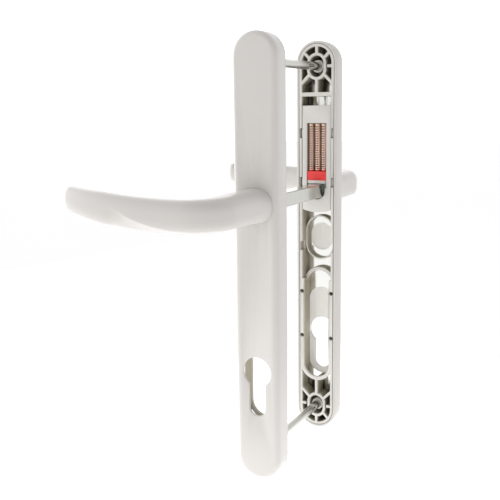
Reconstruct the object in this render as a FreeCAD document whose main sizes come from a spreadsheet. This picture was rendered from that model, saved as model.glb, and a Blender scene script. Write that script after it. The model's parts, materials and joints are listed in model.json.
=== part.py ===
import FreeCAD, Part
import math
import os
import Sketcher
from FreeCAD import Placement, Rotation, Vector

# A pair of sprung lever door handles on long narrow backplates, for a 70 mm door with a
# euro-profile keyhole. Millimetres. +Z is up, +Y runs through the door from outside to inside,
# +X is to the right as seen from outside. The origin is on the spindle's axis, in the plane
# where the outer plate sits on the door (Y = 0). The inner plate sits at Y = door_thickness.
#
# A plate is described from its rim: "depth" is measured from the rim, which sits on the door,
# towards the visible face. The inner plate's pieces are the outer plate's, turned half a turn
# about Z, and its lever is the outer lever's mirror image.

DIMENSIONS = {
    # door and backplates
    "door_thickness": 70,
    "plate_half_width": 13,
    "plate_top": 90,
    "plate_bottom": 155,
    "plate_depth": 12,
    "edge_radius": 3,
    "wall": 1.4,
    "face": 1.6,
    # fixing bolts and their posts
    "bolt_top": 75,
    "bolt_bottom": 140,
    "bolt_radius": 2.5,
    "bolt_bore_radius": 2.55,
    "bolt_head_radius": 4.7,
    "bolt_tip_depth": 8,
    "post_radius": 3.7,
    "post_start": 2,
    "countersink": 2.3,
    # euro-profile keyhole
    "keyhole_drop": 92,
    "keyhole_radius": 8.55,
    "keyhole_slot_radius": 5.05,
    "keyhole_bottom": 117.4,
    # polished liner behind the face
    "liner_half_width": 11.4,
    "liner_thickness": 0.8,
    "liner_slot_radius": 8.6,
    "liner_slot_top": 63.1,
    "liner_slot_bottom": 121,
    "liner_boss_radius": 7.2,
    "liner_boss_half_rise": 1.6,
    # nylon support frame
    "frame_half_width": 11.35,
    "frame_depth": 9.5,
    "rail_inner": 9.7,
    "band_inner": 8.55,
    "band_wall": 2.3,
    "band_bottom": 112.3,
    "band_foot": 117,
    "band_end_depth": 2,
    "band_shoulder": 56.5,
    "arch_radius": 8.4,
    "arch_drop": 60,
    "arch_start": 5.5,
    "upper_bay": 57.3,
    "rib": 2.4,
    "spoke": 1.7,
    "upper_spoke_reach": 16.5,
    "lower_spoke_reach": 18,
    "eye_half_width": 6.2,
    "eye_half_rise": 1.8,
    "eye_wall": 1.7,
    "stub_gap": 0.7,
    "boss_drop": 30,
    "boss_high": 26,
    "boss_low": 34.8,
    "boss_wall": 1.1,
    "boss_start": 6.2,
    "clip_width": 1.3,
    "clip_height": 5.8,
    "clip_depth": 5,
    "pin_hole_radius": 1.25,
    "pin_hole_offset": 9.95,
    # spring cassette
    "cassette_half_width": 9.4,
    "cassette_top": 51.8,
    "cassette_bottom": 12,
    "cassette_belly": 1.6,
    "lid_start": 0.2,
    "lid_thickness": 1,
    "window_half_width": 6.45,
    "window_top": 41.6,
    "window_step": 1.5,
    "window_round": 5.6,
    "well_depth": 5.7,
    "cam_chamber_radius": 8.4,
    # slider, springs and cam
    "slider_half_width": 6.2,
    "slider_bottom": 6.2,
    "slider_height": 5.6,
    "slider_start": 0.5,
    "slider_depth": 5.6,
    "foot_half_width": 6,
    "foot_web": 0.6,
    "foot_flange": 1,
    "foot_drop": 1.9,
    "spring_radius": 1.65,
    "spring_wire": 0.38,
    "spring_pitch": 1.5,
    "spring_length": 28.5,
    "spring_spacing": 4.3,
    "spring_depth": 2.9,
    "peg_radius": 1.1,
    "peg_height": 2,
    "cam_rise": 5.4,
    "cam_lift": 4,
    "cam_corner": 8,
    "cam_waist": 6.9,
    "cam_start": 1.7,
    "cam_thickness": 4.8,
    # spindle
    "spindle_half": 4,
    "spindle_corner": 0.4,
    "spindle_tip_chamfer": 0.8,
    "spindle_tip_depth": 9.5,
    "socket_half": 4.06,
    "socket_end": 15,
    # lever, its spigot, bush, washer and circlip
    "bush_radius": 8,
    "bush_bore": 6.86,
    "bush_flange_radius": 8.6,
    "bush_flange": 0.3,
    "spigot_radius": 6.8,
    "spigot_start": 7.2,
    "groove_radius": 6.2,
    "groove_start": 8,
    "groove_width": 0.85,
    "circlip_radius": 7.6,
    "washer_radius": 8.1,
    "washer_thickness": 0.6,
    "neck_start": 12.4,
    "neck_length": 34,
    "neck_base_half_width": 10.4,
    "neck_base_half_height": 9.4,
    "neck_half_width": 8.4,
    "neck_half_height": 8.8,
    "bend_radius": 16.2,
    "bend_angle": 83,
    "grip_radius": 155,
    "grip_length": 79,
    "grip_rise": 5,
    "grip_half_width": 5.8,
    "grip_half_height": 8.2,
    "tip_half_width": 4.2,
    "tip_half_height": 6.7,
    "tip_round": 4.5,
}

doc = FreeCAD.newDocument("DoorHandleSet")
sheet = doc.addObject("Spreadsheet::Sheet", "Dims")
for row, (alias, number) in enumerate(DIMENSIONS.items(), start=1):
    sheet.set("A%d" % row, alias)
    sheet.set("B%d" % row, str(number))
    sheet.setAlias("B%d" % row, alias)
doc.recompute()

ALONG_DEPTH = Rotation(Vector(1, 0, 0), 90)     # turns a solid's own Z to the depth direction, -Y
HALF_TURN = Rotation(Vector(0, 0, 1), 180)
CLIP_HEIGHTS = ("35.1", "5.1", "-35.4")         # middles of the clip slots in both rails
PIN_DROPS = ("64.8", "94")                      # blind pin holes beside the keyhole band
kept = {}


def value(alias):
    """The number in the sheet under this alias."""
    return float(sheet.get(alias))


def formula(text):
    """Write a formula over the sheet's aliases as FreeCAD wants it, each with the sheet's name."""
    words = []
    word = ""
    for letter in text + " ":
        if letter.isalnum() or letter in "_.":
            word += letter
            continue
        words.append("Dims." + word if word in DIMENSIONS else word)
        words.append(letter)
        word = ""
    return "".join(words).strip()


def bind(item, **formulas):
    """Bind an object's properties to formulas over the sheet."""
    for name, text in formulas.items():
        item.setExpression(name.replace("__", "."), formula(text))
    return item


def place(item, across="0", depth="0", height="0"):
    """Bind an object's base point: X, depth below the rim, Z."""
    return bind(item, Placement__Base__x=across, Placement__Base__y="-(%s)" % depth,
                Placement__Base__z=height)


def disc(name, radius, start, thickness, across="0", height="0"):
    """A cylinder along the depth direction."""
    item = doc.addObject("Part::Cylinder", name)
    item.Placement = Placement(Vector(), ALONG_DEPTH)
    bind(item, Radius=radius, Height=thickness)
    return place(item, across, start, height)


def block(name, left, right, low, high, start, thickness):
    """A box between two X formulas, two Z formulas and two depths."""
    item = doc.addObject("Part::Box", name)
    bind(item, Length="(%s)-(%s)" % (right, left), Width=thickness, Height="(%s)-(%s)" % (high, low))
    return place(item, left, "(%s)+(%s)" % (start, thickness), low)


def fuse(name, pieces):
    item = doc.addObject("Part::MultiFuse", name)
    item.Shapes = pieces
    return item


def cut(name, base, tools):
    item = doc.addObject("Part::Cut", name)
    item.Base = base
    item.Tool = tools[0] if len(tools) == 1 else fuse(name + "_tools", tools)
    return item


def common(name, first, second):
    item = doc.addObject("Part::MultiCommon", name)
    item.Shapes = [first, second]
    return item


def tidy(name, item):
    """Join faces that a fuse has left split."""
    refined = doc.addObject("Part::Refine", name)
    refined.Source = item
    return refined


def obround(name, radius, low, high, start, thickness):
    """A slab with two parallel sides and round ends whose centres are at Z low and Z high."""
    return fuse(name, [
        disc(name + "_low", radius, start, thickness, height=low),
        disc(name + "_high", radius, start, thickness, height=high),
        block(name + "_mid", "-(%s)" % radius, radius, low, high, start, thickness),
    ])


def keep(side, name, item):
    """Name a finished piece for its node, and seat it on its side of the door."""
    node = side + "_" + name
    item.Label = node
    if side == "inner":
        item.Placement = Placement(Vector(0, value("door_thickness"), 0), HALF_TURN)
        bind(item, Placement__Base__y="door_thickness")
    kept[node] = item
    return item


# ---------------------------------------------------------------- sketches in a body

def new_body(name):
    return doc.addObject("PartDesign::Body", name)


def depth_sketch(body, name, depth="0"):
    """A sketch in a plane across the plate, at a depth below the rim. Its normal is -Y."""
    plane = [f for f in body.Origin.OriginFeatures if f.Role == "XZ_Plane"][0]
    sketch = body.newObject("Sketcher::SketchObject", name)
    sketch.AttachmentSupport = [(plane, "")]
    sketch.MapMode = "FlatFace"
    bind(sketch, AttachmentOffset__Base__z=depth)
    return sketch


def measure(sketch, name, constraint, text):
    """Add a named dimension to a sketch and bind it to a formula."""
    index = sketch.addConstraint(constraint)
    sketch.renameConstraint(index, name)
    sketch.setExpression("Constraints." + name, formula(text))


def draw_circle(sketch, name, radius, height):
    """A circle centred on X = 0, above the origin where height is positive."""
    rise = eval_formula(height)
    circle = sketch.addGeometry(Part.Circle(Vector(0, rise, 0), Vector(0, 0, 1), eval_formula(radius)))
    sketch.addConstraint(Sketcher.Constraint("PointOnObject", circle, 3, -2))
    measure(sketch, name + "_radius", Sketcher.Constraint("Radius", circle, eval_formula(radius)), radius)
    fix_height(sketch, name, circle, rise, height)


def fix_height(sketch, name, index, rise, height):
    """Hold a centre at its height. A height of zero is the origin itself."""
    if rise > 0:
        rule = Sketcher.Constraint("DistanceY", -1, 1, index, 3, rise)
        measure(sketch, name + "_height", rule, height)
    elif rise < 0:
        rule = Sketcher.Constraint("DistanceY", index, 3, -1, 1, -rise)
        measure(sketch, name + "_height", rule, "-(%s)" % height)
    else:
        sketch.addConstraint(Sketcher.Constraint("PointOnObject", index, 3, -1))


def draw_obround(sketch, name, radius, low, high):
    """Two round ends on X = 0, joined by straight sides."""
    size = eval_formula(radius)
    bottom = eval_formula(low)
    top = eval_formula(high)
    up = Vector(0, 0, 1)
    head = sketch.addGeometry(Part.ArcOfCircle(Part.Circle(Vector(0, top, 0), up, size), 0, math.pi))
    left = sketch.addGeometry(Part.LineSegment(Vector(-size, top, 0), Vector(-size, bottom, 0)))
    tail = sketch.addGeometry(
        Part.ArcOfCircle(Part.Circle(Vector(0, bottom, 0), up, size), math.pi, 2 * math.pi))
    right = sketch.addGeometry(Part.LineSegment(Vector(size, bottom, 0), Vector(size, top, 0)))
    for first, end, second, begin in ((head, 2, left, 1), (left, 2, tail, 1), (tail, 2, right, 1),
                                      (right, 2, head, 1)):
        sketch.addConstraint(Sketcher.Constraint("Tangent", first, end, second, begin))
    sketch.addConstraint(Sketcher.Constraint("PointOnObject", head, 3, -2))
    sketch.addConstraint(Sketcher.Constraint("PointOnObject", tail, 3, -2))
    measure(sketch, name + "_radius", Sketcher.Constraint("Radius", head, size), radius)
    fix_height(sketch, name + "_head", head, top, high)
    fix_height(sketch, name + "_tail", tail, bottom, low)


def draw_keyhole(sketch):
    """The euro profile: a round hole with a narrower round-ended slot below it."""
    drop = value("keyhole_drop")
    size = value("keyhole_radius")
    half = value("keyhole_slot_radius")
    foot = value("keyhole_bottom") - half
    up = Vector(0, 0, 1)
    turn = math.acos(half / size)
    throat = drop + math.sqrt(size ** 2 - half ** 2)
    head = sketch.addGeometry(
        Part.ArcOfCircle(Part.Circle(Vector(0, -drop, 0), up, size), -turn, math.pi + turn))
    left = sketch.addGeometry(Part.LineSegment(Vector(-half, -throat, 0), Vector(-half, -foot, 0)))
    tail = sketch.addGeometry(
        Part.ArcOfCircle(Part.Circle(Vector(0, -foot, 0), up, half), math.pi, 2 * math.pi))
    right = sketch.addGeometry(Part.LineSegment(Vector(half, -foot, 0), Vector(half, -throat, 0)))
    sketch.addConstraint(Sketcher.Constraint("Coincident", head, 2, left, 1))
    sketch.addConstraint(Sketcher.Constraint("Tangent", left, 2, tail, 1))
    sketch.addConstraint(Sketcher.Constraint("Tangent", tail, 2, right, 1))
    sketch.addConstraint(Sketcher.Constraint("Coincident", right, 2, head, 1))
    sketch.addConstraint(Sketcher.Constraint("PointOnObject", head, 3, -2))
    sketch.addConstraint(Sketcher.Constraint("PointOnObject", tail, 3, -2))
    sketch.addConstraint(Sketcher.Constraint("Vertical", left))
    measure(sketch, "head_radius", Sketcher.Constraint("Radius", head, size), "keyhole_radius")
    measure(sketch, "slot_radius", Sketcher.Constraint("Radius", tail, half), "keyhole_slot_radius")
    fix_height(sketch, "head", head, -drop, "-keyhole_drop")
    fix_height(sketch, "foot", tail, -foot, "-(keyhole_bottom-keyhole_slot_radius)")


def eval_formula(text):
    """The number that a formula over the sheet gives now."""
    sheet.set("D1", "=" + formula(text).replace("Dims.", ""))
    sheet.recompute()
    return float(sheet.get("D1"))


def pad(body, sketch, length):
    feature = body.newObject("PartDesign::Pad", sketch.Name + "_pad")
    feature.Profile = sketch
    bind(feature, Length=length)
    return feature


def pocket(body, sketch, length):
    """Cut from the sketch's plane towards the visible face, and make sure that it cuts."""
    doc.recompute()
    before = body.Shape.Volume
    feature = body.newObject("PartDesign::Pocket", sketch.Name + "_cut")
    feature.Profile = sketch
    feature.Reversed = True
    bind(feature, Length=length)
    doc.recompute()
    if body.Shape.Volume >= before:
        raise RuntimeError(sketch.Name + " cuts nothing")
    return feature


def edges_at_depth(shape, depth):
    """Names of the edges that lie in the plane across the plate at this depth."""
    names = []
    for index, edge in enumerate(shape.Edges, start=1):
        points = edge.discretize(5)
        if all(abs(point.y + depth) < 1e-4 for point in points):
            names.append("Edge%d" % index)
    return names


# ---------------------------------------------------------------- plate pieces

def make_shell(side):
    """Painted metal shell: a long tray with round ends, posts for the bolts, and three openings."""
    body = new_body(side + "_shell_body")
    outline = depth_sketch(body, side + "_shell_outline")
    draw_obround(outline, "outline", "plate_half_width", "plate_half_width-plate_bottom",
                 "plate_top-plate_half_width")
    solid = pad(body, outline, "plate_depth")
    doc.recompute()

    rim = body.newObject("PartDesign::Fillet", side + "_shell_edge")
    rim.Base = (solid, edges_at_depth(solid.Shape, value("plate_depth")))
    bind(rim, Radius="edge_radius")

    inside = depth_sketch(body, side + "_shell_inside")
    draw_obround(inside, "inside", "plate_half_width-wall", "plate_half_width-plate_bottom",
                 "plate_top-plate_half_width")
    pocket(body, inside, "plate_depth-face")

    posts = depth_sketch(body, side + "_shell_posts", "post_start")
    draw_circle(posts, "upper", "post_radius", "bolt_top")
    draw_circle(posts, "lower", "post_radius", "-bolt_bottom")
    pad(body, posts, "plate_depth-post_start-0.5*face")

    bores = depth_sketch(body, side + "_shell_bores", "post_start")
    draw_circle(bores, "upper", "bolt_bore_radius", "bolt_top")
    draw_circle(bores, "lower", "bolt_bore_radius", "-bolt_bottom")
    blind = "plate_depth-post_start-face"
    pocket(body, bores, "plate_depth" if side == "inner" else blind)

    lever_hole = depth_sketch(body, side + "_shell_lever_hole")
    draw_circle(lever_hole, "hole", "bush_radius+0.05", "0")
    pocket(body, lever_hole, "plate_depth+1")

    keyhole = depth_sketch(body, side + "_shell_keyhole")
    draw_keyhole(keyhole)
    pocket(body, keyhole, "plate_depth+1")

    if side == "inner":
        for name, height in (("upper", "bolt_top"), ("lower", "-bolt_bottom")):
            sink = body.newObject("PartDesign::SubtractiveCone", "countersink_" + name)
            sink.Placement = Placement(Vector(), Rotation(Vector(1, 0, 0), -90))
            bind(sink, Radius1="bolt_bore_radius+countersink", Radius2="bolt_bore_radius",
                 Height="countersink")
            place(sink, depth="plate_depth", height=height)
    doc.recompute()
    keep(side, "shell", body)


def make_liner(side):
    """Polished steel strip that stiffens the back of the shell's face."""
    start = "plate_depth-face-liner_thickness"
    plate = obround(side + "_liner_blank", "liner_half_width", "plate_half_width-plate_bottom",
                    "plate_top-plate_half_width", start, "liner_thickness")
    deep = "(%s)-1" % start
    through = "liner_thickness+2"
    holes = [
        disc(side + "_liner_lever", "bush_radius+0.05", deep, through),
        disc(side + "_liner_upper", "post_radius+0.2", deep, through, height="bolt_top"),
        disc(side + "_liner_lower", "post_radius+0.2", deep, through, height="-bolt_bottom"),
        obround(side + "_liner_boss", "liner_boss_radius", "-boss_drop-liner_boss_half_rise",
                "-boss_drop+liner_boss_half_rise", deep, through),
        obround(side + "_liner_slot", "liner_slot_radius", "liner_slot_radius-liner_slot_bottom",
                "-(liner_slot_top+liner_slot_radius)", deep, through),
    ]
    keep(side, "liner", cut(side + "_liner", plate, holes))


def screw_eye(side, name, height):
    """An oval eye round a bolt post, six spokes to the frame's wall, and a short stub each side."""
    eye = obround("%s_eye_%s" % (side, name), "eye_half_width", height + "-eye_half_rise",
                  height + "+eye_half_rise", "0", "frame_depth")
    opening = obround("%s_eye_hole_%s" % (side, name), "eye_half_width-eye_wall",
                      height + "-eye_half_rise", height + "+eye_half_rise", "-1", "frame_depth+2")
    spokes = []
    for step in range(8):
        angle = 45 * step
        if angle in (0, 180):
            continue
        spoke = doc.addObject("Part::Box", "%s_spoke_%s_%d" % (side, name, angle))
        bind(spoke, Length=name + "_spoke_reach", Width="frame_depth", Height="spoke")
        lean = Rotation(Vector(0, -1, 0), angle)
        shift = lean.multVec(Vector(0, 0, -value("spoke") / 2))
        spoke.Placement = Placement(Vector(shift.x, 0, 0), lean)
        place(spoke, "%.6f*spoke" % (shift.x / value("spoke")), "frame_depth",
              "%s+%.6f*spoke" % (height, shift.z / value("spoke")))
        spokes.append(spoke)
    near = "eye_half_width+stub_gap"
    for hand, left, right in (("left", "-rail_inner-1", "-(%s)" % near),
                              ("right", near, "rail_inner+1")):
        spokes.append(block("%s_stub_%s_%s" % (side, name, hand), left, right,
                            height + "-spoke/2", height + "+spoke/2", "0", "frame_depth"))
    return [eye] + spokes, opening


def make_frame(side):
    """Nylon frame that fills the shell: side rails, a rib, screw eyes and the keyhole band.

    The band's side rails run the full depth. The arch that closes them above lies deeper, and the
    round end that closes them below is a shallow web at the rim."""
    low = "plate_half_width-plate_bottom"
    high = "plate_top-plate_half_width"
    envelope = obround(side + "_frame_envelope", "frame_half_width", low, high, "0", "frame_depth")
    outer = obround(side + "_frame_outer", "frame_half_width", low, high, "0", "frame_depth")
    inner = obround(side + "_frame_inner", "rail_inner", low, high, "-1", "frame_depth+2")
    wall = cut(side + "_frame_wall", outer, [inner])
    upper_spokes, upper_hole = screw_eye(side, "upper", "bolt_top")
    lower_spokes, lower_hole = screw_eye(side, "lower", "-bolt_bottom")
    boss_ring = cut(side + "_boss_ring",
                    obround(side + "_boss", "rail_inner+0.1", "-boss_low", "-boss_high", "boss_start",
                            "frame_depth-boss_start"),
                    [obround(side + "_boss_hole", "rail_inner+0.1-boss_wall", "-boss_low",
                             "-boss_high", "boss_start-1", "frame_depth+2")])
    band = [
        disc(side + "_arch", "arch_radius+band_wall", "arch_start", "frame_depth-arch_start",
             height="-arch_drop"),
        disc(side + "_band_end", "band_inner+band_wall", "0", "band_end_depth",
             height="-band_bottom"),
        block(side + "_band_rails", "-frame_half_width", "frame_half_width", "-band_foot",
              "-band_shoulder", "0", "frame_depth"),
    ]
    band_hole = fuse(side + "_band_hole", [
        disc(side + "_arch_hole", "arch_radius", "-1", "frame_depth+2", height="-arch_drop"),
        disc(side + "_band_end_hole", "band_inner", "-1", "frame_depth+2", height="-band_bottom"),
        block(side + "_band_mid_hole", "-band_inner", "band_inner", "-band_bottom", "-arch_drop",
              "-1", "frame_depth+2"),
        block(side + "_band_outlet", "-band_inner", "band_inner", "-band_foot-1", "-band_bottom",
              "band_end_depth", "frame_depth"),
        block(side + "_band_throat", "-band_inner", "band_inner", "-arch_drop-1", "1-band_shoulder",
              "-1", "arch_start+1"),
    ])
    rib = block(side + "_rib", "-frame_half_width", "frame_half_width", "upper_bay",
                "upper_bay+rib", "0", "frame_depth")
    grown = fuse(side + "_frame_grown", [wall, boss_ring, rib] + band + upper_spokes + lower_spokes)
    trimmed = common(side + "_frame_trimmed", grown, envelope)

    holes = [upper_hole, lower_hole, band_hole]
    for index, middle in enumerate(CLIP_HEIGHTS):
        for hand, left in (("left", "-rail_inner-clip_width"), ("right", "rail_inner-0.3")):
            holes.append(block("%s_clip_%s_%d" % (side, hand, index), left, left + "+clip_width+0.3",
                               middle + "-clip_height/2", middle + "+clip_height/2",
                               "-1", "clip_depth+1"))
    for index, drop in enumerate(PIN_DROPS):
        for hand, across in (("left", "-pin_hole_offset"), ("right", "pin_hole_offset")):
            holes.append(disc("%s_pin_%s_%d" % (side, hand, index), "pin_hole_radius", "-1", "5",
                              across, "-" + drop))
    keep(side, "frame", tidy(side + "_frame", cut(side + "_frame_cut", trimmed, holes)))


# ---------------------------------------------------------------- spring cassette

def cassette_slab(side, name, start, thickness):
    """The cassette's outline: straight sides and top, and a bottom that bellies down."""
    belly_radius = "(cassette_half_width^2+cassette_belly^2)/(2*cassette_belly)"
    bar = block(side + name + "_bar", "-cassette_half_width", "cassette_half_width",
                "-cassette_bottom-cassette_belly", "cassette_top", start, thickness)
    head = block(side + name + "_head", "-cassette_half_width", "cassette_half_width",
                 "-cassette_bottom", "cassette_top", start, thickness)
    belly = disc(side + name + "_belly", belly_radius, start, thickness,
                 height="%s-cassette_bottom-cassette_belly" % belly_radius)
    return fuse(side + name + "_slab", [head, common(side + name + "_foot", bar, belly)])


def make_cassette(side):
    """Moulded housing with a well for the springs and a chamber for the cam, and its lid."""
    start = "lid_start+lid_thickness"
    depth = "frame_depth-lid_start-lid_thickness"
    slab = cassette_slab(side, "_housing", start, depth)
    well = block(side + "_well", "-window_half_width", "window_half_width", "0", "window_top",
                 "%s-1" % start, "well_depth+1")
    chamber = disc(side + "_chamber", "cam_chamber_radius", "0", "frame_depth+1")
    pieces = [cut(side + "_housing_cut", slab, [well, chamber])]
    for index, middle in enumerate(CLIP_HEIGHTS[:2]):
        for hand, left in (("left", "-cassette_half_width-1.1"), ("right", "cassette_half_width-0.2")):
            pieces.append(block("%s_clip_nub_%s_%d" % (side, hand, index), left, left + "+1.3",
                                middle + "-2.4", middle + "+2.4", "1.4", "2.2"))
    keep(side, "cassette_housing", tidy(side + "_housing", fuse(side + "_housing_whole", pieces)))

    lid = cassette_slab(side, "_lid", "lid_start", "lid_thickness")
    window = block(side + "_window", "-window_half_width", "window_half_width", "window_step",
                   "window_top-0.4", "-1", "lid_thickness+3")
    round_end = obround(side + "_window_round", "window_round", "0", "window_step", "-1",
                        "lid_thickness+3")
    keep(side, "cassette_lid",
         tidy(side + "_lid", cut(side + "_lid_cut", lid, [window, round_end])))


def make_slider(side):
    """Slider that is lifted against the springs, with a peg for each spring, and the plated foot
    that the cam pushes on."""
    top = "slider_bottom+slider_height"
    pieces = [block(side + "_slider_block", "-slider_half_width", "slider_half_width",
                    "slider_bottom", top, "slider_start", "slider_depth")]
    for step in (-1, 0, 1):
        peg = doc.addObject("Part::Cylinder", "%s_peg_%d" % (side, step + 1))
        bind(peg, Radius="peg_radius", Height="peg_height+0.5")
        place(peg, "%d*spring_spacing" % step, "spring_depth", top + "-0.5")
        pieces.append(peg)
    keep(side, "slider", fuse(side + "_slider", pieces))

    web = block(side + "_foot_web", "-foot_half_width", "foot_half_width", "slider_bottom-foot_web",
                "slider_bottom", "slider_start", "slider_depth")
    flange = block(side + "_foot_flange", "-foot_half_width", "foot_half_width",
                   "slider_bottom-foot_drop", "slider_bottom", "slider_start", "foot_flange")
    keep(side, "slider_foot", tidy(side + "_slider_foot", fuse(side + "_foot_body", [web, flange])))


def make_springs(side):
    """Three compression springs side by side, each its own piece."""
    for step, name in ((-1, "left"), (0, "middle"), (1, "right")):
        helix = doc.addObject("Part::Helix", "%s_%s_line" % (side, name))
        bind(helix, Pitch="spring_pitch", Height="spring_length", Radius="spring_radius")
        wire = doc.addObject("Part::Circle", "%s_%s_wire" % (side, name))
        wire.Placement = Placement(Vector(), Rotation(Vector(1, 0, 0), 90))
        bind(wire, Radius="spring_wire", Placement__Base__x="spring_radius")
        coil = doc.addObject("Part::Sweep", "%s_%s_coil" % (side, name))
        coil.Sections = [wire]
        coil.Spine = (helix, ["Edge1"])
        coil.Solid = True
        coil.Frenet = True
        placed = doc.addObject("Part::Compound", "%s_%s_spring" % (side, name))
        placed.Links = [coil]
        place(coil, "%d*spring_spacing" % step, "spring_depth",
              "slider_bottom+slider_height+spring_wire+0.1")
        keep(side, "spring_" + name, placed)


def cam_outline():
    """Flat top, involute flanks that lift the slider in proportion to the turn, round underneath."""
    rise = value("cam_rise")
    lift = value("cam_lift")
    corner = value("cam_corner")
    waist = value("cam_waist")

    def flank(turn):
        reach = rise + lift * turn
        normal = math.pi / 2 - turn
        return Vector(reach * math.cos(normal) + lift * math.sin(normal), 0,
                      reach * math.sin(normal) - lift * math.cos(normal))

    last = 0.0
    while flank(last).Length < corner:
        last += 0.002
    right = [flank(last * step / 4) for step in range(5)]
    left = [Vector(-point.x, 0, point.z) for point in right]
    shoulder_right = Vector(waist, 0, 0)
    shoulder_left = Vector(-waist, 0, 0)
    right_curve = Part.BSplineCurve()
    right_curve.interpolate(right)
    left_curve = Part.BSplineCurve()
    left_curve.interpolate(left[::-1])
    return Part.Wire([
        Part.LineSegment(left[0], right[0]).toShape(),
        right_curve.toShape(),
        Part.LineSegment(right[-1], shoulder_right).toShape(),
        Part.Arc(shoulder_right, Vector(0, 0, -waist), shoulder_left).toShape(),
        Part.LineSegment(shoulder_left, left[-1]).toShape(),
        left_curve.toShape(),
    ])


def make_cam(side):
    """Zinc cam with a square hole, held on the spindle."""
    blank = doc.addObject("Part::Feature", side + "_cam_blank")
    solid = Part.Face(cam_outline()).extrude(Vector(0, -value("cam_thickness"), 0))
    blank.Shape = solid
    place(blank, depth="cam_start")
    square = block(side + "_cam_square", "-socket_half", "socket_half", "-socket_half",
                   "socket_half", "cam_start-1", "cam_thickness+2")
    keep(side, "cam", cut(side + "_cam", blank, [square]))


# ---------------------------------------------------------------- lever, bush, washer, circlip

def make_bush(side):
    """Nylon bush that carries the lever's spigot, with a thin flange outside the face."""
    start = "plate_depth-face-liner_thickness"
    sleeve = disc(side + "_bush_sleeve", "bush_radius", start, "face+liner_thickness")
    flange = disc(side + "_bush_flange", "bush_flange_radius", "plate_depth", "bush_flange")
    bore = disc(side + "_bush_bore", "bush_bore", "0", "plate_depth+5")
    keep(side, "bush", cut(side + "_bush", fuse(side + "_bush_body", [sleeve, flange]), [bore]))


def make_washer(side):
    """Steel thrust washer between the liner and the circlip."""
    start = "plate_depth-face-liner_thickness-washer_thickness"
    ring = disc(side + "_washer_ring", "washer_radius", start, "washer_thickness")
    bore = disc(side + "_washer_bore", "bush_bore", "0", "plate_depth")
    keep(side, "washer", cut(side + "_washer", ring, [bore]))


def make_circlip(side):
    """Open spring-steel ring in the spigot's groove, with an eye at each end."""
    start = "groove_start+0.02"
    thickness = "groove_width-0.1"
    ring = disc(side + "_circlip_ring", "circlip_radius", start, thickness)
    ears = [
        disc("%s_circlip_ear_%d" % (side, index), "1.1", start, thickness, across, "-6.9")
        for index, across in enumerate(("-1.9", "1.9"))
    ]
    hollow = [
        disc(side + "_circlip_bore", "groove_radius", "0", "plate_depth"),
        block(side + "_circlip_gap", "-0.9", "0.9", "-12", "-1", "0", "plate_depth"),
    ] + [
        disc("%s_circlip_eye_%d" % (side, index), "0.5", "0", "plate_depth", across, "-7")
        for index, across in enumerate(("-1.9", "1.9"))
    ]
    body = fuse(side + "_circlip_body", [ring] + ears)
    keep(side, "circlip", cut(side + "_circlip", body, hollow))


def lever_path(distance):
    """A point on the lever's middle line and its heading, at a distance along it from the plate.

    The neck stands straight out, the bend turns it to the side and the grip bows gently."""
    neck = value("neck_length")
    radius = value("bend_radius")
    turn = math.radians(value("bend_angle"))
    bow = value("grip_radius")
    out = value("neck_start")
    if distance <= neck:
        return Vector(0, -(out + distance), 0), 0.0
    arc = min(distance - neck, radius * turn)
    angle = arc / radius
    x = -radius * (1 - math.cos(angle))
    y = -(out + neck + radius * math.sin(angle))
    rest = distance - neck - arc
    if rest <= 0:
        return Vector(x, y, 0), angle
    bowed = rest / bow
    x -= bow * (math.cos(turn) - math.cos(turn + bowed))
    y -= bow * (math.sin(turn + bowed) - math.sin(turn))
    share = rest / value("grip_length")
    return Vector(x, y, value("grip_rise") * share ** 1.7), turn + bowed


def lever_section(distance, half_width, half_height, squareness=2.5):
    """A closed rounded section across the lever's middle line."""
    centre, heading = lever_path(distance)
    side = Vector(math.cos(heading), -math.sin(heading), 0)
    points = []
    for step in range(16):
        angle = 2 * math.pi * step / 16
        across = math.copysign(abs(math.cos(angle)) ** (2 / squareness), math.cos(angle))
        rise = math.copysign(abs(math.sin(angle)) ** (2 / squareness), math.sin(angle))
        points.append(centre + side * (across * half_width) + Vector(0, 0, rise * half_height))
    curve = Part.BSplineCurve()
    curve.interpolate(points, PeriodicFlag=True)
    return Part.Wire([curve.toShape()])


def lever_grip():
    """Neck, bend and grip as one loft, rounded at the tip."""
    neck = value("neck_length")
    bend = value("bend_radius") * math.radians(value("bend_angle"))
    grip = value("grip_length")
    base = (value("neck_base_half_width"), value("neck_base_half_height"))
    root = (value("neck_half_width"), value("neck_half_height"))
    middle = (value("grip_half_width"), value("grip_half_height"))
    tip = (value("tip_half_width"), value("tip_half_height"))
    end = neck + bend + grip
    rounding = value("tip_round")

    def between(first, second, share_width, share_height):
        return (first[0] + (second[0] - first[0]) * share_width,
                first[1] + (second[1] - first[1]) * share_height)

    stations = [(0, *base), (neck * 0.35, *between(base, root, 0.55, 0.5))]
    stations.append((neck * 0.75, *between(base, root, 0.85, 0.8)))
    for share in (0.1, 0.4, 0.7, 1.0):
        stations.append((neck + bend * share, *between(root, middle, share, share)))
    for share in (0.25, 0.5, 0.75):
        stations.append((neck + bend + grip * share, *between(middle, tip, share, share ** 4)))
    for share in (0.0, 0.4, 0.7, 0.9, 0.985):
        shrink = math.sqrt(1 - share ** 2)
        stations.append((end - rounding * (1 - share),
                         tip[0] - min(tip[0], rounding) * (1 - shrink) * 0.98,
                         tip[1] - rounding * (1 - shrink)))
    return Part.makeLoft([lever_section(*station) for station in stations], True)


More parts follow.
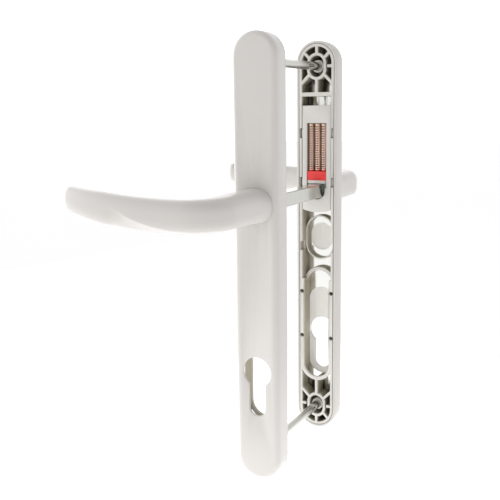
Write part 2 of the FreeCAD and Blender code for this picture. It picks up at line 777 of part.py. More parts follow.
def make_levers():
    """Lever casting: grip, neck and a spigot with a square socket. The inner one is mirrored."""
    grip = doc.addObject("Part::Feature", "lever_grip")
    grip.Shape = lever_grip()
    spigot = disc("lever_spigot", "spigot_radius", "spigot_start", "neck_start-spigot_start+1")
    casting = fuse("lever_casting", [grip, spigot])
    socket = block("lever_socket", "-socket_half", "socket_half", "-socket_half", "socket_half",
                   "spigot_start-1", "socket_end-spigot_start+1")
    groove_ring = cut("lever_groove",
                      disc("lever_groove_outer", "spigot_radius+1", "groove_start", "groove_width"),
                      [disc("lever_groove_inner", "groove_radius", "groove_start-1",
                            "groove_width+2")])
    outer = cut("lever_outer", casting, [socket, groove_ring])
    keep("outer", "lever", outer)
    inner = doc.addObject("Part::Mirroring", "lever_inner")
    inner.Source = outer
    inner.Normal = Vector(0, 1, 0)
    bind(inner, Base__y="door_thickness/2")
    inner.Label = "inner_lever"
    kept["inner_lever"] = inner


# ---------------------------------------------------------------- pieces through the door

def make_spindle():
    """Square bar through the door, with broken corners and chamfered ends."""
    bar = doc.addObject("Part::Box", "spindle_bar")
    bind(bar, Length="2*spindle_half", Width="door_thickness+2*spindle_tip_depth",
         Height="2*spindle_half")
    place(bar, "-spindle_half", "spindle_tip_depth", "-spindle_half")
    doc.recompute()
    spindle = doc.addObject("Part::Chamfer", "spindle_bar_chamfered")
    spindle.Base = bar
    corner = value("spindle_corner")
    tip = value("spindle_tip_chamfer")
    broken = []
    for index, edge in enumerate(bar.Shape.Edges, start=1):
        across = abs(edge.Vertexes[0].Y - edge.Vertexes[1].Y) < 1e-6
        size = tip if across else corner
        broken.append((index, size, size))
    spindle.Edges = broken
    spindle.Label = "spindle"
    kept["spindle"] = spindle


def make_bolt(name, height):
    """Countersunk machine screw with a cross recess, from the inner face to the outer post."""
    length = "door_thickness+plate_depth+bolt_tip_depth"
    shank = doc.addObject("Part::Cylinder", name + "_shank")
    shank.Placement = Placement(Vector(), ALONG_DEPTH)
    bind(shank, Radius="bolt_radius", Height=length)
    place(shank, depth="-(door_thickness+plate_depth)", height=height)
    head = doc.addObject("Part::Cone", name + "_head")
    head.Placement = Placement(Vector(), ALONG_DEPTH)
    bind(head, Radius1="bolt_head_radius", Radius2="bolt_radius",
         Height="bolt_head_radius-bolt_radius")
    place(head, depth="-(door_thickness+plate_depth)", height=height)
    bars = [
        block("%s_recess_%d" % (name, index), "-" + wide, wide, height + "-" + tall,
              height + "+" + tall, "-(door_thickness+plate_depth+1)", "2.6")
        for index, (wide, tall) in enumerate((("2.4", "0.55"), ("0.55", "2.4")))
    ]
    return cut(name, fuse(name + "_blank", [shank, head]), bars)


def make_bolts():
    """Two identical bolts, as separate solids in one piece."""
    bolts = doc.addObject("Part::Compound", "fixing_bolts")
    bolts.Links = [make_bolt("bolt_upper", "bolt_top"), make_bolt("bolt_lower", "-bolt_bottom")]
    bolts.Label = "fixing_bolts"
    kept["fixing_bolts"] = bolts


for plate_side in ("outer", "inner"):
    make_shell(plate_side)
    make_liner(plate_side)
    make_frame(plate_side)
    make_cassette(plate_side)
    make_slider(plate_side)
    make_springs(plate_side)
    make_cam(plate_side)
    make_bush(plate_side)
    make_washer(plate_side)
    make_circlip(plate_side)
make_levers()
make_spindle()
make_bolts()
doc.recompute()

for item in doc.Objects:
    if "Invalid" in item.State or "Error" in item.State:
        raise RuntimeError("%s failed: %s" % (item.Name, item.State))
os.makedirs("parts", exist_ok=True)
for node, item in kept.items():
    shape = item.Shape
    if shape.isNull() or not shape.isValid() or not shape.Solids:
        raise RuntimeError(node + " has no valid solid")
    shape.exportStep("parts/%s.step" % node)
    print("%-26s solids %d  volume %9.1f" % (node, len(shape.Solids), shape.Volume))
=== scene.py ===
import json
import math

import bmesh
import bpy
from mathutils import Matrix, Vector


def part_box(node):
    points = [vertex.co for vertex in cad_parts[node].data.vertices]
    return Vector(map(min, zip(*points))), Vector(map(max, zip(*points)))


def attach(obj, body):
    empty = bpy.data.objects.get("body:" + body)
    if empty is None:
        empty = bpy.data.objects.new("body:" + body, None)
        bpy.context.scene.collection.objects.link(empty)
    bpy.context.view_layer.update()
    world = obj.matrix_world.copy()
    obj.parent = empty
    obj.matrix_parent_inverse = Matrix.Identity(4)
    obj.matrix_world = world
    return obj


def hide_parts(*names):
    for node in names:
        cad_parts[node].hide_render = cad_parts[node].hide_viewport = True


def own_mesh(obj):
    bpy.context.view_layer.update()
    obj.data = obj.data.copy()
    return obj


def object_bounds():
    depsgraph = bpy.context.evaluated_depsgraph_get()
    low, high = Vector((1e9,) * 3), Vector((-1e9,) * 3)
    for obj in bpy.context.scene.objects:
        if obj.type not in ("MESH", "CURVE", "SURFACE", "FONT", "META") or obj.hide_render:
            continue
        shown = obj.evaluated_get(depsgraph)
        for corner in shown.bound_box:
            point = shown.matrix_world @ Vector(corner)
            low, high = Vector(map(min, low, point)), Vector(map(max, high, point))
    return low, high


# A pair of sprung lever handles on long backplates, joined through the door. Metres, in the CAD
# frame: the spindle's axis is Y, the outer plate's rim lies in Y = 0 and the inner plate's in
# Y = 0.07. "Depth" is measured from a plate's rim towards its visible face.

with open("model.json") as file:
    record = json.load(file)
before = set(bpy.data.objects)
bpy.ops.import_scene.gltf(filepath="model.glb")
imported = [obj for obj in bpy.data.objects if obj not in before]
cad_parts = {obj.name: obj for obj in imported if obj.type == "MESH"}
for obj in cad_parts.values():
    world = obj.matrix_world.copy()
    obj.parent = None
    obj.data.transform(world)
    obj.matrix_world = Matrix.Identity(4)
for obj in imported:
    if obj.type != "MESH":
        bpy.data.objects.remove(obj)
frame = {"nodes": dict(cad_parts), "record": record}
cad_low, cad_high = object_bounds()
nodes = frame["nodes"]

MM = 0.001
SIDES = ("outer", "inner")
OUTER_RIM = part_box("outer_frame")[1].y
INNER_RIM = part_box("inner_frame")[0].y
MID_DOOR = (OUTER_RIM + INNER_RIM) / 2
HALF_DOOR = (INNER_RIM - OUTER_RIM) / 2


# ---------------------------------------------------------------- camera, floor and light

CAMERA_PLACE = (0.1895, -0.3707, 0.0512)
CAMERA_YAW, CAMERA_PITCH, CAMERA_ROLL = (math.radians(angle) for angle in (28.24, 10.44, -0.85))
CAMERA_LENS = 55.7
SENSOR = 36
FLOOR_HALF = 4
FLOOR_GREY = 0.8
GLOW_MIDDLE = (-0.02, -0.03, cad_low.z)
GLOW_NEAR, GLOW_FAR = 0.02, 0.3
GLOW_MOST, GLOW_LEAST = 0.95, 0.3
# The studio's brightness follows how far a direction leans to its bright side, and never falls
# below the band of light along the horizon.
BRIGHT_SIDE = Vector((-0.85, 0.45, -0.25)).normalized()
LEAN_DIM, LEAN_BRIGHT = -0.9, 0.75
STUDIO_DIM, STUDIO_BRIGHT = 0.34, 1.45
BAND_TOP_START, BAND_TOP_END = 0.1, 0.22
BAND_BRIGHT = 1.08


def map_range(tree, source, start, end, low, high, smooth=False):
    """Map a value from start..end to low..high in a node tree."""
    node = tree.nodes.new("ShaderNodeMapRange")
    if smooth:
        node.interpolation_type = "SMOOTHSTEP"
    for name, number in zip(("From Min", "From Max", "To Min", "To Max"), (start, end, low, high)):
        node.inputs[name].default_value = number
    tree.links.new(source, node.inputs["Value"])
    return node.outputs["Result"]


def make_camera():
    """Camera from the outside, a little above, on the +X side."""
    reach = math.cos(CAMERA_PITCH)
    forward = Vector((-math.sin(CAMERA_YAW) * reach, math.cos(CAMERA_YAW) * reach,
                      -math.sin(CAMERA_PITCH)))
    level = Vector((math.cos(CAMERA_YAW), math.sin(CAMERA_YAW), 0))
    upright = level.cross(forward)
    right = math.cos(CAMERA_ROLL) * level + math.sin(CAMERA_ROLL) * upright
    up = math.cos(CAMERA_ROLL) * upright - math.sin(CAMERA_ROLL) * level
    turn = Matrix((right, up, -forward)).transposed().to_4x4()
    lens = bpy.data.cameras.new("camera")
    lens.lens = CAMERA_LENS
    lens.sensor_width = SENSOR
    lens.clip_start = 0.01
    camera = bpy.data.objects.new("camera", lens)
    camera.matrix_world = Matrix.Translation(CAMERA_PLACE) @ turn
    bpy.context.scene.collection.objects.link(camera)
    bpy.context.scene.camera = camera


def make_floor():
    """A pale table top under the plates' lower ends, which glows most around them."""
    corners = [(x * FLOOR_HALF, y * FLOOR_HALF, cad_low.z) for x, y in ((-1, -1), (1, -1), (1, 1), (-1, 1))]
    mesh = bpy.data.meshes.new("floor")
    mesh.from_pydata(corners, [], [(0, 1, 2, 3)])
    floor = bpy.data.objects.new("floor", mesh)
    bpy.context.scene.collection.objects.link(floor)
    material = bpy.data.materials.new("floor_white")
    material.use_nodes = True
    shader = material.node_tree.nodes["Principled BSDF"].inputs
    shader["Base Color"].default_value = (FLOOR_GREY, FLOOR_GREY, FLOOR_GREY, 1)
    shader["Roughness"].default_value = 0.9
    shader["Emission Color"].default_value = (1, 1, 1, 1)
    tree = material.node_tree
    place = tree.nodes.new("ShaderNodeTexCoord")
    reach = tree.nodes.new("ShaderNodeVectorMath")
    reach.operation = "DISTANCE"
    reach.inputs[1].default_value = GLOW_MIDDLE
    tree.links.new(place.outputs["Object"], reach.inputs[0])
    glow = map_range(tree, reach.outputs["Value"], GLOW_NEAR, GLOW_FAR, GLOW_MOST, GLOW_LEAST, smooth=True)
    tree.links.new(glow, shader["Emission Strength"])
    mesh.materials.append(material)


def make_world():
    """A white studio, brighter to the left, behind and along the horizon, dimmer elsewhere."""
    world = bpy.data.worlds.new("studio")
    bpy.context.scene.world = world
    world.use_nodes = True
    tree = world.node_tree
    background = tree.nodes["Background"]
    background.inputs["Color"].default_value = (1, 1, 1, 1)
    direction = tree.nodes.new("ShaderNodeTexCoord")
    lean = tree.nodes.new("ShaderNodeVectorMath")
    lean.operation = "DOT_PRODUCT"
    lean.inputs[1].default_value = BRIGHT_SIDE
    tree.links.new(direction.outputs["Generated"], lean.inputs[0])
    ramp = map_range(tree, lean.outputs["Value"], LEAN_DIM, LEAN_BRIGHT, STUDIO_DIM, STUDIO_BRIGHT)
    height = tree.nodes.new("ShaderNodeSeparateXYZ")
    tree.links.new(direction.outputs["Generated"], height.inputs[0])
    band = map_range(tree, height.outputs["Z"], BAND_TOP_START, BAND_TOP_END, BAND_BRIGHT, 0)
    brighter = tree.nodes.new("ShaderNodeMath")
    brighter.operation = "MAXIMUM"
    tree.links.new(ramp, brighter.inputs[0])
    tree.links.new(band, brighter.inputs[1])
    tree.links.new(brighter.outputs[0], background.inputs["Strength"])


def area_light(name, place, target, size, power):
    light = bpy.data.lights.new(name, "AREA")
    light.size = size
    light.energy = power
    lamp = bpy.data.objects.new(name, light)
    aim = Vector(target) - Vector(place)
    lamp.rotation_euler = aim.to_track_quat("-Z", "Y").to_euler()
    lamp.location = place
    bpy.context.scene.collection.objects.link(lamp)


# ---------------------------------------------------------------- materials

# The inside of a shell's face, which the paint lightens as painted light.
SHELL_FACE = 10.4 * MM
SHELL_FACE_SLACK = 0.2 * MM
FACE_MIDDLE = -32.5 * MM
FACE_HALF_WIDTH = 11.5 * MM
FACE_HALF_LENGTH = 115 * MM
# The bays round the bolts, where painted shade and painted reflections are laid.
BAYS_MIDDLE_DROP = 40 * MM
BOLT_BAY_START, BOLT_BAY_END = 82 * MM, 88 * MM


class Finish:
    """A small helper that builds one procedural material node by node."""

    def __init__(self, name, base, rough, metal=0.0):
        self.material = bpy.data.materials.new(name)
        self.material.use_nodes = True
        self.tree = self.material.node_tree
        self.shader = self.tree.nodes["Principled BSDF"]
        self.shader.inputs["Metallic"].default_value = metal
        self.place = self.tree.nodes.new("ShaderNodeTexCoord").outputs["Object"]
        self.base = base
        self.rough = rough
        self.bump_normal = None
        self.colour = None

    def set(self, **values):
        for name, number in values.items():
            self.shader.inputs[name.replace("_", " ")].default_value = number
        return self

    def noise(self, scale, detail=3.0, stretch=None):
        texture = self.tree.nodes.new("ShaderNodeTexNoise")
        texture.inputs["Scale"].default_value = scale
        texture.inputs["Detail"].default_value = detail
        source = self.place
        if stretch:
            mapping = self.tree.nodes.new("ShaderNodeMapping")
            mapping.inputs["Scale"].default_value = stretch
            self.tree.links.new(source, mapping.inputs["Vector"])
            source = mapping.outputs["Vector"]
        self.tree.links.new(source, texture.inputs["Vector"])
        return texture.outputs["Fac"]

    def remap(self, source, low, high, start=0.3, end=0.7):
        return map_range(self.tree, source, start, end, low, high)

    def tint(self, factor, colour):
        """Mix another colour over what is there, by a factor."""
        mix = self.tree.nodes.new("ShaderNodeMix")
        mix.data_type = "RGBA"
        if self.colour is None:
            mix.inputs[6].default_value = (*self.base, 1)
        else:
            self.tree.links.new(self.colour, mix.inputs[6])
        mix.inputs[7].default_value = (*colour, 1)
        self.tree.links.new(factor, mix.inputs[0])
        self.colour = mix.outputs[2]
        return self

    def bump(self, source, height):
        node = self.tree.nodes.new("ShaderNodeBump")
        node.inputs["Distance"].default_value = height
        node.inputs["Strength"].default_value = 1
        self.tree.links.new(source, node.inputs["Height"])
        if self.bump_normal is not None:
            self.tree.links.new(self.bump_normal, node.inputs["Normal"])
        self.bump_normal = node.outputs["Normal"]
        return self

    def maths(self, operation, first, second=None, third=None):
        """A maths node over sockets and numbers."""
        node = self.tree.nodes.new("ShaderNodeMath")
        node.operation = operation
        for socket, given in zip(node.inputs, (first, second, third)):
            if isinstance(given, bpy.types.NodeSocket):
                self.tree.links.new(given, socket)
            elif given is not None:
                socket.default_value = given
        return node.outputs[0]

    def times(self, first, second):
        return self.maths("MULTIPLY", first, second)

    def axes(self, vector):
        split = self.tree.nodes.new("ShaderNodeSeparateXYZ")
        self.tree.links.new(vector, split.inputs[0])
        return split.outputs

    def depth(self):
        """Depth below the nearer plate's rim, in metres."""
        from_middle = self.maths("SUBTRACT", self.axes(self.place)["Y"], MID_DOOR)
        return self.maths("SUBTRACT", self.maths("ABSOLUTE", from_middle), HALF_DOOR)

    def inner_face(self):
        """One on the inside of a shell's face, else nought: where the paint gets painted light."""
        axes = self.axes(self.place)
        on_face = self.maths("COMPARE", self.depth(), SHELL_FACE, SHELL_FACE_SLACK)
        in_width = self.maths("COMPARE", axes["X"], 0, FACE_HALF_WIDTH)
        in_length = self.maths("COMPARE", axes["Z"], FACE_MIDDLE, FACE_HALF_LENGTH)
        return self.times(on_face, self.times(in_width, in_length))

    def walls(self):
        """One where a surface runs along the depth, nought where it faces the rim."""
        facing = self.tree.nodes.new("ShaderNodeNewGeometry").outputs["Normal"]
        along = self.maths("ABSOLUTE", self.axes(facing)["Y"])
        return self.remap(along, 1, 0, 0.5, 0.9)

    def bolt_bays(self):
        """One in the bays round both bolts, nought in the plates' middles."""
        height = self.maths("ADD", self.axes(self.place)["Z"], BAYS_MIDDLE_DROP)
        return self.remap(self.maths("ABSOLUTE", height), 0, 1, BOLT_BAY_START, BOLT_BAY_END)

    def painted_shade(self, distance, strength):
        """How far a point is closed in by what stands around it, as painted shade: an ambient occlusion
        factor that darkens hollows and corners.
        """
        open_sky = self.tree.nodes.new("ShaderNodeAmbientOcclusion")
        open_sky.inputs["Distance"].default_value = distance
        return self.remap(open_sky.outputs["AO"], strength, 0, 0.1, 0.8)

    def done(self, rough_spread=0.05, rough_scale=180):
        if self.colour is None:
            self.shader.inputs["Base Color"].default_value = (*self.base, 1)
        else:
            self.tree.links.new(self.colour, self.shader.inputs["Base Color"])
        smoothest, roughest = self.rough - rough_spread, self.rough + rough_spread
        rough = self.remap(self.noise(rough_scale), smoothest, roughest)
        self.tree.links.new(rough, self.shader.inputs["Roughness"])
        if self.bump_normal is not None:
            self.tree.links.new(self.bump_normal, self.shader.inputs["Normal"])
        return self.material


def white_paint():
    """Gloss powder coat: a faint orange peel, dust-fine unevenness in its tone, and painted light that
    makes the inside of each shell's face lighter.
    """
    f = Finish("white_paint", (0.70, 0.672, 0.645), 0.3)
    f.tint(f.remap(f.noise(75, 3), 0, 0.6), (0.688, 0.66, 0.633))
    # Painted light: the inside of each shell's face is lightened, though it lies deep under the frame.
    f.tint(f.inner_face(), (0.97, 0.955, 0.93))
    f.bump(f.noise(420, 2), 0.005 * MM)
    f.bump(f.noise(2600, 2), 0.0008 * MM)
    return f.set(Coat_Weight=0.15, Coat_Roughness=0.12).done(0.02, 90)


def white_nylon():
    """Moulded nylon: matt, with a fine grain, flow marks, and painted shade: walls darkened to tan with
    depth below the rim, hollows and the bolt bays darkened by ambient occlusion.
    """
    f = Finish("white_nylon", (0.76, 0.735, 0.70), 0.48)
    f.tint(f.remap(f.noise(60, 4), 0, 0.5), (0.73, 0.705, 0.66))
    # Painted shade: walls turn tan with depth below the rim, and hollows, most of all the bolt bays, are
    # darkened by ambient occlusion.
    f.tint(f.times(f.remap(f.depth(), 0, 0.85, 0.2 * MM, 2.5 * MM), f.walls()), (0.37, 0.325, 0.225))
    f.tint(f.painted_shade(4 * MM, 0.35), (0.14, 0.125, 0.085))
    f.tint(f.times(f.painted_shade(7 * MM, 0.7), f.bolt_bays()), (0.16, 0.155, 0.105))
    f.bump(f.noise(1500, 3), 0.006 * MM)
    f.bump(f.noise(240, 2, (1, 1, 0.25)), 0.01 * MM)
    return f.done(0.08)


def cassette_lid():
    """Pale grey moulded cover, smoother than the frame."""
    f = Finish("cassette_lid", (0.75, 0.73, 0.695), 0.36)
    f.tint(f.remap(f.noise(45, 3), 0, 0.4), (0.72, 0.70, 0.665))
    f.bump(f.noise(900, 2), 0.004 * MM)
    return f.done(0.06)


def red_plastic():
    """Moulded acetal in signal red, with flow marks."""
    f = Finish("red_plastic", (0.95, 0.06, 0.055), 0.34)
    f.tint(f.remap(f.noise(320, 3, (1, 1, 2.5)), 0, 0.7), (0.88, 0.035, 0.04))
    f.bump(f.noise(1100, 2), 0.004 * MM)
    return f.done(0.07, 400)


def copper_spring():
    """Copper-washed wire, drawn along its length, duller in places, with painted shade in the gaps between
    turns.
    """
    f = Finish("copper_spring", (1.0, 0.82, 0.70), 0.16, 1.0)
    f.tint(f.remap(f.noise(700, 4), 0, 0.4), (0.88, 0.52, 0.38))
    # Painted shade: the gaps between turns are darkened to red-brown by ambient occlusion.
    f.tint(f.painted_shade(1.5 * MM, 0.9), (0.55, 0.16, 0.06))
    f.bump(f.noise(3200, 2), 0.002 * MM)
    return f.done(0.06, 900)


def zinc():
    """Die-cast zinc as it comes from the tool: grey-green, slightly pitted."""
    f = Finish("zinc", (0.26, 0.30, 0.27), 0.42, 0.75)
    f.tint(f.remap(f.noise(380, 4), 0, 0.7), (0.17, 0.205, 0.18))
    f.bump(f.noise(1300, 4), 0.03 * MM)
    return f.done(0.12, 500)


def zinc_plated():
    """Bright zinc plate over drawn bar, with fine lines along it."""
    f = Finish("zinc_plated", (0.64, 0.635, 0.60), 0.2, 1.0)
    f.tint(f.remap(f.noise(900, 4, (1, 0.03, 1)), 0, 0.3), (0.57, 0.57, 0.54))
    f.bump(f.noise(4200, 2, (1, 0.02, 1)), 0.0006 * MM)
    return f.done(0.04, 300)


def polished_steel():
    """Polished strip, streaked in the bolt bays with painted reflections of the dark frame above it."""
    f = Finish("polished_steel", (0.93, 0.93, 0.90), 0.1, 1.0)
    # Painted reflection: dark streaks in the bolt bays stand in for the dark frame mirrored in the strip.
    reflection_streaks = f.remap(f.noise(330, 4, (1, 1, 0.3)), 0.25, 1, 0.4, 0.6)
    f.tint(f.times(reflection_streaks, f.bolt_bays()), (0.13, 0.12, 0.09))
    f.bump(f.noise(70, 2), 0.01 * MM)
    return f.done(0.03, 120)


def bright_steel():
    """Turned washer with fine rings."""
    f = Finish("bright_steel", (0.7, 0.7, 0.69), 0.32, 1.0)
    f.tint(f.remap(f.noise(420, 3), 0, 0.5), (0.56, 0.56, 0.55))
    f.bump(f.noise(3000, 2), 0.005 * MM)
    return f.done(0.08, 500)


def spring_steel():
    """Phosphated spring steel: dark, oily grey."""
    f = Finish("spring_steel", (0.17, 0.17, 0.18), 0.38, 0.9)
    f.tint(f.remap(f.noise(500, 3), 0, 0.7), (0.09, 0.09, 0.1))
    f.bump(f.noise(2400, 3), 0.01 * MM)
    return f.done(0.1, 700)


FINISHES = {make.__name__: make() for make in (
    white_paint, white_nylon, cassette_lid, red_plastic, copper_spring, zinc, zinc_plated,
    polished_steel, bright_steel, spring_steel)}
SLOTS = {part["node"]: part["material_slot"] for part in frame["record"]["subparts"]}


# ---------------------------------------------------------------- pieces

def add_piece(name, mesh, body, slot, replaced):
    """Link a new piece in place of one CAD node, with its finish and its body."""
    piece = bpy.data.objects.new(name, mesh)
    bpy.context.scene.collection.objects.link(piece)
    mesh.materials.clear()
    mesh.materials.append(FINISHES[slot])
    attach(piece, body)
    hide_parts(replaced)
    return piece


def soften(node, width, body):
    """A copy of a CAD node with its sharp edges broken, as moulded and cast edges are."""
    work = bmesh.new()
    work.from_mesh(nodes[node].data)
    bmesh.ops.remove_doubles(work, verts=work.verts, dist=0.002 * MM)
    mesh = bpy.data.meshes.new(node + "_finished")
    work.to_mesh(mesh)
    work.free()
    mesh.polygons.foreach_set("use_smooth", [True] * len(mesh.polygons))
    piece = add_piece(node + "_finished", mesh, body, SLOTS[node], node)
    bevel = piece.modifiers.new("broken_edges", "BEVEL")
    bevel.limit_method = "ANGLE"
    bevel.angle_limit = math.radians(32)
    bevel.width = width
    bevel.segments = 2
    bevel.use_clamp_overlap = False
    bevel.loop_slide = False
    bevel.harden_normals = True
    return piece


# ---------------------------------------------------------------- levers

NECK_START = 12.05 * MM
NECK = 34.35 * MM
BEND_RADIUS = 16.2 * MM
BEND_ANGLE = math.radians(83)
BEND = BEND_RADIUS * BEND_ANGLE
GRIP_BOW = 155 * MM
GRIP = 79 * MM
GRIP_RISE = 5 * MM
LEVER_END = NECK + BEND + GRIP
TIP_ROUND = 4.6 * MM


def blend(stops, where):
    """Smooth change between (position, value) stops."""
    for (start, first), (end, second) in zip(stops, stops[1:]):
        if where <= end:
            share = max(0.0, (where - start) / (end - start))
            share = share * share * (3 - 2 * share)
            return first + (second - first) * share
    return stops[-1][1]


def slope(stops, where):
    """Straight change between (position, value) stops."""
    for (start, first), (end, second) in zip(stops, stops[1:]):
        if where <= end:
            return first + (second - first) * max(0.0, (where - start) / (end - start))
    return stops[-1][1]


def lever_line(distance):
    """Middle line of the lever: straight neck, round bend, gently bowed and rising grip."""
    if distance <= NECK:
        return Vector((0, -(NECK_START + distance), 0)), 0.0
    arc = min(distance - NECK, BEND)
    angle = arc / BEND_RADIUS
    x = -BEND_RADIUS * (1 - math.cos(angle))
    y = -(NECK_START + NECK + BEND_RADIUS * math.sin(angle))
    rest = max(0.0, distance - NECK - BEND)
    bowed = rest / GRIP_BOW
    if rest > 0:
        x -= GRIP_BOW * (math.cos(BEND_ANGLE) - math.cos(BEND_ANGLE + bowed))
        y -= GRIP_BOW * (math.sin(BEND_ANGLE + bowed) - math.sin(BEND_ANGLE))
    return Vector((x, y, GRIP_RISE * (rest / GRIP) ** 1.7)), angle + bowed


WIDTHS = [(0, 10.4 * MM), (0.35 * NECK, 9.3 * MM), (NECK, 8.4 * MM), (NECK + BEND, 5.8 * MM),
          (LEVER_END, 4.2 * MM)]
HEIGHTS = [(0, 9.4 * MM), (0.35 * NECK, 9.1 * MM), (NECK, 8.8 * MM), (NECK + BEND, 8.25 * MM),
           (NECK + BEND + 0.6 * GRIP, 8.15 * MM), (LEVER_END, 6.65 * MM)]
SQUARENESS = [(0, 2.25), (0.6 * NECK, 2.9), (NECK + BEND, 2.75), (LEVER_END, 2.35)]
# The lower facet: its upper edge is the neck's lower corner, and it climbs the grip's outer face.
FACET_EDGE = [(0, -40), (NECK, -44), (NECK + 0.7 * BEND, -50), (NECK + BEND + 0.03 * GRIP, -46),
              (NECK + BEND + 0.16 * GRIP, -30), (NECK + BEND + 0.5 * GRIP, 16), (LEVER_END, 40)]
FACET_FLATNESS = [(0, 0), (0.3 * NECK, 0.9), (NECK + BEND + 0.34 * GRIP, 0.9),
                  (NECK + BEND + 0.56 * GRIP, 0), (LEVER_END, 0)]


def lever_ring(distance, count):
    centre, heading = lever_line(distance)
    side = Vector((math.cos(heading), -math.sin(heading), 0))
    half_width = slope(WIDTHS, distance)
    half_height = slope(HEIGHTS, distance)
    power = 2 / blend(SQUARENESS, distance)
    from_end = max(0.0, 1 - (LEVER_END - distance) / TIP_ROUND)
    shrink = 1 - math.sqrt(max(0.0, 1 - from_end ** 2))
    half_width = max(0.02 * MM, half_width - min(half_width, TIP_ROUND) * shrink)
    half_height -= TIP_ROUND * shrink

    def outline(angle):
        across = math.copysign(abs(math.cos(angle)) ** power, math.cos(angle)) * half_width
        rise = math.copysign(abs(math.sin(angle)) ** power, math.sin(angle)) * half_height
        return across, rise

    edge = math.radians(slope(FACET_EDGE, distance))
    foot = math.radians(-91)
    flat = blend(FACET_FLATNESS, distance)
    top = outline(edge)
    bottom = outline(foot)
    points = []
    for step in range(count):
        angle = 2 * math.pi * step / count - math.pi
        across, rise = outline(angle)
        if foot < angle < edge:
            share = (edge - angle) / (edge - foot)
            across += flat * (top[0] + (bottom[0] - top[0]) * share - across)
            rise += flat * (top[1] + (bottom[1] - top[1]) * share - rise)
        points.append(centre + side * across + Vector((0, 0, rise)))
    return points


def make_lever(side_name):
    """The lever as one smooth skin, from inside its collar to the rounded tip."""
    count = 112
    straight = LEVER_END - TIP_ROUND
    stations = [straight * step / 150 for step in range(151)]
    stations += [straight + TIP_ROUND * math.sin(math.pi / 2 * step / 12) for step in range(1, 13)]
    mirror = side_name == "inner"
    mesh = bpy.data.meshes.new(side_name + "_lever_skin")
    work = bmesh.new()
    rings = []
    for distance in stations:
        ring = []
        for point in lever_ring(distance, count):
            y = OUTER_RIM + point.y
            ring.append(work.verts.new((point.x, 2 * MID_DOOR - y if mirror else y, point.z)))
        rings.append(ring)
    for first, second in zip(rings, rings[1:]):
        for index in range(count):
            after = (index + 1) % count
            work.faces.new((first[index], first[after], second[after], second[index]))
    work.faces.new(rings[-1])
    add_spigot(work, rings[0], mirror)
    bmesh.ops.recalc_face_normals(work, faces=work.faces)
    for face in work.faces:
        face.smooth = True
    work.to_mesh(mesh)
    work.free()
    mesh.set_sharp_from_angle(angle=math.radians(50))
    add_piece(side_name + "_lever_skin", mesh, "lever_set", "white_paint", side_name + "_lever")


COLLAR_LIP = 8.8 * MM
COLLAR_SEAT = 12.4 * MM
SPIGOT = 6.8 * MM
SPIGOT_ENTRY = 6.55 * MM
SPIGOT_END = 7.2 * MM
ENTRY_START = 7.45 * MM
GROOVE = 6.2 * MM
GROOVE_NEAR, GROOVE_FAR = 8 * MM, 8.85 * MM
SOCKET_HALF = 4.06 * MM
SOCKET_END = 15 * MM


def add_spigot(work, base, mirror):
    """Close the collar and carry on to the spigot, its circlip groove and its square socket."""
    count = len(base)

    def ring(radius, depth, square=False):
        made = []
        y = OUTER_RIM - depth
        for step in range(count):
            angle = 2 * math.pi * step / count - math.pi
            x = math.cos(angle)
            z = math.sin(angle)
            reach = SOCKET_HALF / max(abs(x), abs(z)) if square else radius
            made.append(work.verts.new((x * reach, 2 * MID_DOOR - y if mirror else y, z * reach)))
        return made

    steps = [ring(COLLAR_LIP, NECK_START), ring(COLLAR_LIP, COLLAR_SEAT), ring(SPIGOT, COLLAR_SEAT),
             ring(SPIGOT, GROOVE_FAR), ring(GROOVE, GROOVE_FAR),
             ring(GROOVE, GROOVE_NEAR), ring(SPIGOT, GROOVE_NEAR),
             ring(SPIGOT, ENTRY_START), ring(SPIGOT_ENTRY, SPIGOT_END),
             ring(0, SPIGOT_END, True), ring(0, SOCKET_END, True)]
    previous = base
    for current in steps:
        for index in range(count):
            after = (index + 1) % count
            work.faces.new((previous[index], previous[after], current[after], current[index]))
        previous = current
    work.faces.new(previous)


# ---------------------------------------------------------------- springs

WIRE = 0.38 * MM
TURNS = 21
CLOSED_TURNS = 1.25
POINTS_AROUND = 10
POINTS_PER_TURN = 28
CLOSED_RISE = 2.1 * WIRE


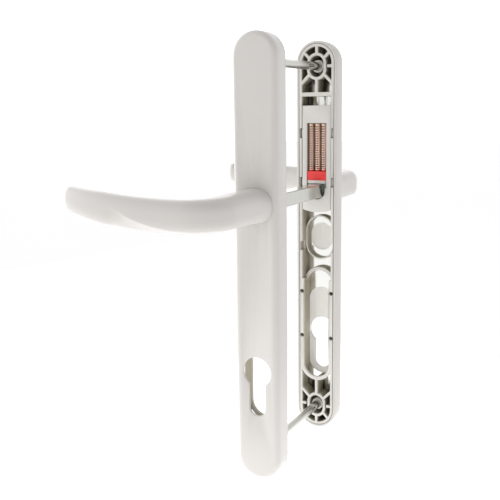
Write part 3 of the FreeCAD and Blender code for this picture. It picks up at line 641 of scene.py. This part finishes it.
def make_spring(side_name, name):
    """A compression spring with closed ends, fixed to the plates."""
    node = "%s_spring_%s" % (side_name, name)
    low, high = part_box(node)
    middle = (low + high) / 2
    radius = (high.x - low.x) / 2 - WIRE
    bottom = low.z + WIRE
    length = high.z - low.z - 2 * WIRE
    steps = int(TURNS * POINTS_PER_TURN)
    rest = length - 2 * CLOSED_TURNS * CLOSED_RISE
    live = TURNS - 2 * CLOSED_TURNS

    def rise(turn):
        if turn < CLOSED_TURNS:
            return turn * CLOSED_RISE
        if turn > TURNS - CLOSED_TURNS:
            return length - (TURNS - turn) * CLOSED_RISE
        return CLOSED_TURNS * CLOSED_RISE + rest * (turn - CLOSED_TURNS) / live

    work = bmesh.new()
    rings = []
    for step in range(steps + 1):
        turn = TURNS * step / steps
        angle = 2 * math.pi * turn
        out = Vector((math.cos(angle), math.sin(angle), 0))
        centre = Vector((middle.x, middle.y, bottom + rise(turn))) + out * radius
        thin = WIRE * (0.35 + 0.65 * min(1.0, 4 * min(turn, TURNS - turn)))
        ring = []
        for index in range(POINTS_AROUND):
            around = 2 * math.pi * index / POINTS_AROUND
            ring.append(work.verts.new(centre + out * (math.cos(around) * WIRE)
                                       + Vector((0, 0, math.sin(around) * thin))))
        rings.append(ring)
    for first, second in zip(rings, rings[1:]):
        for index in range(POINTS_AROUND):
            after = (index + 1) % POINTS_AROUND
            work.faces.new((first[index], first[after], second[after], second[index]))
    work.faces.new(rings[0][::-1])
    work.faces.new(rings[-1])
    bmesh.ops.recalc_face_normals(work, faces=work.faces)
    for face in work.faces:
        face.smooth = True
    mesh = bpy.data.meshes.new(node + "_wire")
    work.to_mesh(mesh)
    work.free()
    piece = add_piece(node + "_wire", mesh, "plates", "copper_spring", node)
    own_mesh(piece)


# ---------------------------------------------------------------- the whole object

make_camera()
make_floor()
make_world()
area_light("left", (-0.6, 0.16, 0.0), (-0.02, 0.03, -0.03), 0.5, 1.4)

for node, thing in nodes.items():
    thing.data.materials.clear()
    thing.data.materials.append(FINISHES[SLOTS[node]])

for side in SIDES:
    make_lever(side)
    for spring in ("left", "middle", "right"):
        make_spring(side, spring)
    soften(side + "_shell", 0.25 * MM, "plates")
    soften(side + "_frame", 0.18 * MM, "plates")
    soften(side + "_cassette_housing", 0.15 * MM, "plates")
    soften(side + "_cassette_lid", 0.15 * MM, "plates")
    soften(side + "_slider", 0.2 * MM, side + "_slider")
    soften(side + "_cam", 0.2 * MM, "lever_set")

bpy.context.scene.view_settings.view_transform = "Standard"
